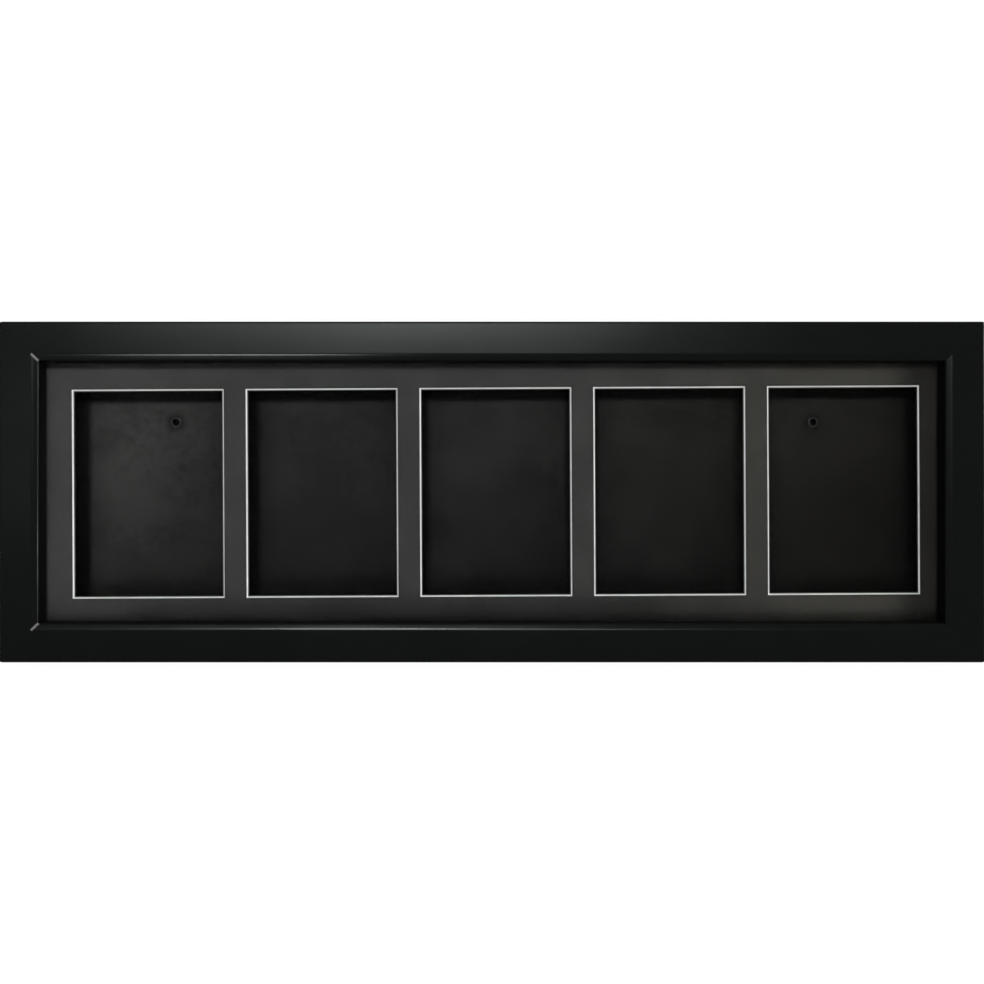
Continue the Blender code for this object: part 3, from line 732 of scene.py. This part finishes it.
def place_in_row(tree, place):
    """Distances in mm along the tilted row of windows and up from its middle."""
    x, _, z = split(tree, place)
    x = calc(tree, "SUBTRACT", x, ROW_OFFSET)
    z = calc(tree, "SUBTRACT", z, middle_z / MM)
    along = calc(tree, "ADD", x, calc(tree, "MULTIPLY", z, math.sin(ROW_TILT)))
    up = calc(tree, "SUBTRACT", z, calc(tree, "MULTIPLY", x, math.sin(ROW_TILT)))
    return along, up


def warmer_to_right(tree, along, shade):
    """The same colour, a little warmer towards the right end of the row."""
    return blend_colours(tree, rescale(tree, along, 0.0, 170.0), shade, stretch(tree, shade, WARMER_TO_RIGHT))


def from_window_edges(tree, along, up):
    """Distances in mm from the left, right, bottom and top edge of the nearest window."""
    turns = calc(tree, "ADD", calc(tree, "DIVIDE", along, WINDOW_PITCH), 0.5)
    within = calc(tree, "MULTIPLY", calc(tree, "SUBTRACT", calc(tree, "FRACT", turns), 0.5), WINDOW_PITCH)
    return (
        calc(tree, "ADD", within, WINDOW_HALF_WIDTH),
        calc(tree, "SUBTRACT", WINDOW_HALF_WIDTH, within),
        calc(tree, "ADD", up, WINDOW_HALF_HEIGHT),
        calc(tree, "SUBTRACT", WINDOW_HALF_HEIGHT, up),
    )


print("windows:", 2 * WINDOW_HALF_WIDTH, "x", 2 * WINDOW_HALF_HEIGHT, "mm, one every", WINDOW_PITCH, "mm")

# %% [markdown]
# ## The mat
#
# Mat board is a white core between two coloured papers. The cutter leans at 45 degrees, so each
# window's edge shows the core as a thin white line around the card. One material does both: faces
# that lean show the core, but for the first and last part of their depth, where the papers are. The
# black paper's colour carries painted light: it is lighter towards the left, with painted shade above
# the lower rail and beside the right rail.

# %% White core
MAT_PAPER = 0.44
PAPER_BLUR = 0.02
mat_low, mat_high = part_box("mat_board")
mat_paint, tree, shader = new_material("mat_paper")
place = place_in_mm(tree)
fibre = use_group(tree, paper_fibre, Fibres=2.6)
leans = calc(tree, "LESS_THAN", calc(tree, "ABSOLUTE", facing_back(tree)), 0.95)
depth = split(tree, place)[1]
core_front, core_back = mat_low.y / MM + MAT_PAPER, mat_high.y / MM - MAT_PAPER
behind_front = rescale(tree, depth, core_front - PAPER_BLUR, core_front + PAPER_BLUR)
before_back = rescale(tree, depth, core_back + PAPER_BLUR, core_back - PAPER_BLUR)
core = calc(tree, "MULTIPLY", behind_front, before_back, leans)
pulp = shade_by(tree, fibre["Height"], colour(0.54, 0.54, 0.53), colour(0.62, 0.62, 0.61))
print("white core in mm:", round(core_back - core_front, 2))

# %% Paper with painted light and shade
along_row, up_row = place_in_row(tree, place)
# Painted light and shade: lighter towards the left end, painted shade above the lower rail (deepest at the
# left), and a darker painted shadow along the lower rail's lip and beside the right rail.
low_left = rescale(tree, along_row, -172.0, -150.0, 0.8, 0.53)
low_strip = rescale(tree, along_row, 40.0, 150.0, low_left, 1.0)
mat_painted_light = [
    rescale(tree, along_row, -190.0, -60.0, 1.5, 1.2),
    rescale(tree, up_row, -52.0, -40.0, low_strip, 1.0),
    rescale(tree, up_row, -56.5, -50.5, 0.3, 1.0),
    rescale(tree, along_row, 171.0, 183.0, 1.0, 0.55),
]
painted_light_and_shade = calc(tree, "MULTIPLY", *mat_painted_light)
paper = shade_by(tree, fibre["Tone"], colour(0.0180, 0.0180, 0.0178), colour(0.0240, 0.0240, 0.0236))
paper = add_node(tree, "VectorMath", {"operation": "SCALE"}, Vector=paper, Scale=painted_light_and_shade).outputs[0]
dust = use_group(tree, fine_dust, Amount=0.12, Speck_Size=0.12)["Mask"]
paper = blend_colours(tree, dust, warmer_to_right(tree, along_row, paper), colour(0.16, 0.16, 0.15))
print("masks of painted light and shade on the paper:", len(mat_painted_light))

# %% Mat board
tree.links.new(blend_colours(tree, core, paper, pulp), shader.inputs["Base Color"])
set_roughness(tree, shader, fibre["Tone"], 0.92, 0.78)
shader.inputs["Specular IOR Level"].default_value = 0.03
add_bump(tree, shader, fibre["Height"], 0.5, 0.04)
copy_solid("mat_board", "mat_sheet", mat_paint)

# %% [markdown]
# ## The spacers
#
# Strips of foam board with a black paper face stand between the mat and the board, behind the rails'
# lips. They hardly show, so plain dark paper is enough, with the same fibres as the mat.

# %% Spacers
foam_paper, tree, shader = new_material("foam_paper")
fibre = use_group(tree, paper_fibre, Fibres=2.0)
shade = shade_by(tree, fibre["Tone"], colour(0.012), colour(0.021, 0.021, 0.02))
tree.links.new(shade, shader.inputs["Base Color"])
set_roughness(tree, shader, fibre["Tone"], 0.95, 0.82)
add_bump(tree, shader, fibre["Height"], 0.5, 0.05)
for side in FOUR_SIDES:
    copy_solid("spacer_" + side, "spacer_strip_" + side, foam_paper, edge_mm=0.15)

# %% [markdown]
# ## The backing board
#
# Hardboard is smooth on one face and has the print of a wire mesh on the other. Its smooth face is
# painted black and looks towards the windows. Its colour carries painted light and shade: darker
# along the edges of each window, where the mat shades it, and around each rivet, lighter in the first
# window and towards the top, and darker towards the right. So the material asks how far a point is
# from the edges of its window.

# %% Painted light and shade on the board
def from_rivet(tree, place, side):
    """Square of the distance in mm from the axis of a rivet."""
    low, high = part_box("hanger_rivet_" + side)
    x, _, z = split(tree, place)
    away_x = calc(tree, "SUBTRACT", x, (low.x + high.x) / 2 / MM)
    away_z = calc(tree, "SUBTRACT", z, (low.z + high.z) / 2 / MM)
    return calc(tree, "ADD", calc(tree, "MULTIPLY", away_x, away_x), calc(tree, "MULTIPLY", away_z, away_z))


board_paint, tree, shader = new_material("board_paint")
place = place_in_mm(tree)
along_row, up_row = place_in_row(tree, place)
left, right, bottom, top = from_window_edges(tree, along_row, up_row)
# Painted shade along each window's edges, where the mat shades the board
shaded = [
    rescale(tree, left, 0.5, 4.0, 0.1, 1.0),
    rescale(tree, left, 0.0, 14.0, 0.68, 1.0),
    rescale(tree, right, -0.5, 2.5, 0.35, 1.0),
    rescale(tree, right, 0.0, 14.0, 0.75, 1.0),
    rescale(tree, bottom, -1.0, 13.0, 0.3, 1.0),
    rescale(tree, top, 3.0, 5.0, 0.3, 1.0),
]
# Painted shadow around each rivet's head
for side in SIDES:
    rivet_distance = calc(tree, "SQRT", from_rivet(tree, place, side))
    shaded.append(rescale(tree, rivet_distance, 1.5, 6.5, 0.4, 1.0))
# Painted light: the first window lighter, the board lighter towards the top and darker towards the right
within_first = rescale(tree, along_row, -175.0, -125.0, 2.15, 1.5)
first_window = rescale(tree, along_row, -118.0, -112.0, within_first, 1.05)
last_windows = rescale(tree, along_row, -40.0, 160.0, 1.0, 0.62)
higher = rescale(tree, up_row, -35.0, 35.0, 0.72, 1.18)
painted_light_and_shade = calc(tree, "MULTIPLY", *shaded, higher, first_window, last_windows)
print("masks that shade the board:", len(shaded))

# %% Painted face
cloud = noise(tree, place, 0.05, 4.0, 0.55, 2.0)
mottle = noise(tree, place, 0.35, 4.0, 0.65, 5.0)
tone = calc(tree, "ADD", calc(tree, "MULTIPLY", cloud, 0.55), calc(tree, "MULTIPLY", mottle, 0.45))
level = calc(tree, "MULTIPLY", painted_light_and_shade, rescale(tree, tone, 0.38, 0.62, 0.0072, 0.0118))
level_blue = calc(tree, "MULTIPLY", level, 0.97)
black = add_node(tree, "CombineColor", Red=level, Green=level, Blue=level_blue).outputs[0]
black = warmer_to_right(tree, along_row, black)
streak = noise(tree, stretch(tree, place, (0.5, 1.0, 0.2)), 1.0, 5.0, 0.75, 11.0)
region = rescale(tree, noise(tree, place, 0.028, 2.0, 0.5, 13.0), 0.47, 0.62)
scuff = calc(tree, "MULTIPLY", rescale(tree, streak, 0.56, 0.7), region, 0.3)
black = blend_colours(tree, scuff, black, colour(0.032, 0.032, 0.03))
print("painted face: black, scuffed in streaks")

# %% Raw back, and the board
WIRE_PRINT = 3.6
raw = rescale(tree, facing_back(tree), -0.5, 0.2)
flecks = noise(tree, place, 1.6, 4.0, 0.7, 17.0)
brown = shade_by(tree, flecks, colour(0.1, 0.052, 0.026), colour(0.19, 0.108, 0.058))
tree.links.new(blend_colours(tree, raw, black, brown), shader.inputs["Base Color"])
set_roughness(tree, shader, tone, 0.82, 0.66)
shader.inputs["Specular IOR Level"].default_value = 0.02
x, _, z = split(tree, place)
wires = [calc(tree, "SINE", calc(tree, "MULTIPLY", part, WIRE_PRINT)) for part in (x, z)]
mesh_print = calc(tree, "MULTIPLY", *wires, raw, 0.5)
add_bump(tree, shader, calc(tree, "ADD", mesh_print, mottle), 0.5, 0.06)
copy_solid("backing_board", "hardboard", board_paint)

# %% [markdown]
# ## Metal fittings
#
# The straps, rings, buttons and screws are pressed or drawn steel with bright zinc on it. Zinc is
# not a mirror: it is cloudy, with fine lines from rolling, and a little brighter along its worn edges.
# The nails are bare steel.

# %% Metal finishes
def make_metal(name, dark, light, rough_low, rough_high, scratches):
    """Rolled metal between two shades, brighter along its worn edges."""
    material, tree, shader = new_material(name)
    finish = use_group(tree, rolled_metal, Scratches=scratches)
    worn = use_group(tree, edge_wear, Width=0.2, Amount=0.6)["Mask"]
    shade = shade_by(tree, finish["Tone"], dark, light)
    brighter = colour(*(min(1.0, v * 1.25) for v in light[:3]))
    tree.links.new(blend_colours(tree, worn, shade, brighter), shader.inputs["Base Color"])
    set_roughness(tree, shader, finish["Tone"], rough_high, rough_low)
    shader.inputs["Metallic"].default_value = 1.0
    add_bump(tree, shader, finish["Height"], 0.3, 0.02)
    print("material:", name)
    return material


zinc = make_metal("zinc_plate", colour(0.42, 0.43, 0.45), colour(0.64, 0.65, 0.67), 0.24, 0.42, 0.6)
nail_steel = make_metal("nail_steel", colour(0.2), colour(0.38, 0.37, 0.36), 0.35, 0.6, 1.0)
rivet_steel = make_metal("rivet_steel", colour(0.016), colour(0.032), 0.4, 0.6, 0.5)

# %% [markdown]
# ## The hollow rivets
#
# A hollow rivet holds each hanger. Its end is pressed open inside the frame, and there it shows in the
# window as a dark hole with a rim. Metal would mirror the white room even down in the hole, so the
# hollow is painted near-black and mirrors nothing: painted shade for the hole's own shadow. Only the rim
# and what lies at the back are metal.

# %% Hollows painted dark as shade
HOLLOW_EDGE = (2.1, 2.9)
HOLLOW_DEPTH = (5.0, 6.0)
tree = rivet_steel.node_tree
shader = tree.nodes["Principled BSDF"]
place = place_in_mm(tree)
outside_hollows = [rescale(tree, from_rivet(tree, place, side), *HOLLOW_EDGE) for side in SIDES]
rivet_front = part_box("hanger_rivet_left")[0].y / MM
behind_rim = rescale(tree, split(tree, place)[1], *(rivet_front + depth for depth in HOLLOW_DEPTH))
bare = calc(tree, "MAXIMUM", calc(tree, "MULTIPLY", *outside_hollows), behind_rim)
steel_shade = shader.inputs["Base Color"].links[0].from_socket
# Painted shade: inside the hollow the colour is near-black and not metal
tree.links.new(blend_colours(tree, bare, colour(0.002), steel_shade), shader.inputs["Base Color"])
tree.links.new(bare, shader.inputs["Metallic"])
shader.inputs["Specular IOR Level"].default_value = 0.0
print("rivets' front in mm:", round(rivet_front, 2))

# %% [markdown]
# ## Putting the fittings on
#
# Each piece rides on the body that moves it: a ring on its own body, a button on its own, and the rest
# on the frame. A thin rounding along the pressed edges catches the light as real sheet metal does.

# %% Fittings
CORNERS = ("top_left", "top_right", "bottom_left", "bottom_right")
for side in SIDES:
    copy_solid("hanger_strap_" + side, "strap_" + side, zinc, edge_mm=0.12)
    copy_solid("d_ring_" + side, "ring_wire_" + side, zinc, body="ring_" + side)
    copy_solid("hanger_rivet_" + side, "rivet_" + side, rivet_steel, edge_mm=0.06)
for name in CORNERS + SIDES:
    copy_solid("turn_button_" + name, "button_" + name, zinc, body="button_" + name, edge_mm=0.15)
    copy_solid("button_screw_" + name, "screw_" + name, zinc, edge_mm=0.05)
for name in CORNERS:
    copy_solid("v_nail_" + name, "nail_" + name, nail_steel, edge_mm=0.05)

# %% [markdown]
# ## The bumpers
#
# Two rubber bumpers keep the frame off the wall. Rubber is dull, and dust clings to it.

# %% Rubber bumpers
bumper_rubber, tree, shader = new_material("bumper_rubber")
pores = noise(tree, place_in_mm(tree), 4.0, 3.0, 0.6, 2.0)
dust = use_group(tree, fine_dust, Amount=0.8, Speck_Size=0.2)["Mask"]
rubber = shade_by(tree, pores, colour(0.014), colour(0.026))
tree.links.new(blend_colours(tree, dust, rubber, colour(0.15)), shader.inputs["Base Color"])
set_roughness(tree, shader, pores, 0.62, 0.78)
add_bump(tree, shader, pores, 0.4, 0.04)
for side in SIDES:
    copy_solid("bumper_" + side, "bumper_pad_" + side, bumper_rubber, edge_mm=0.1)
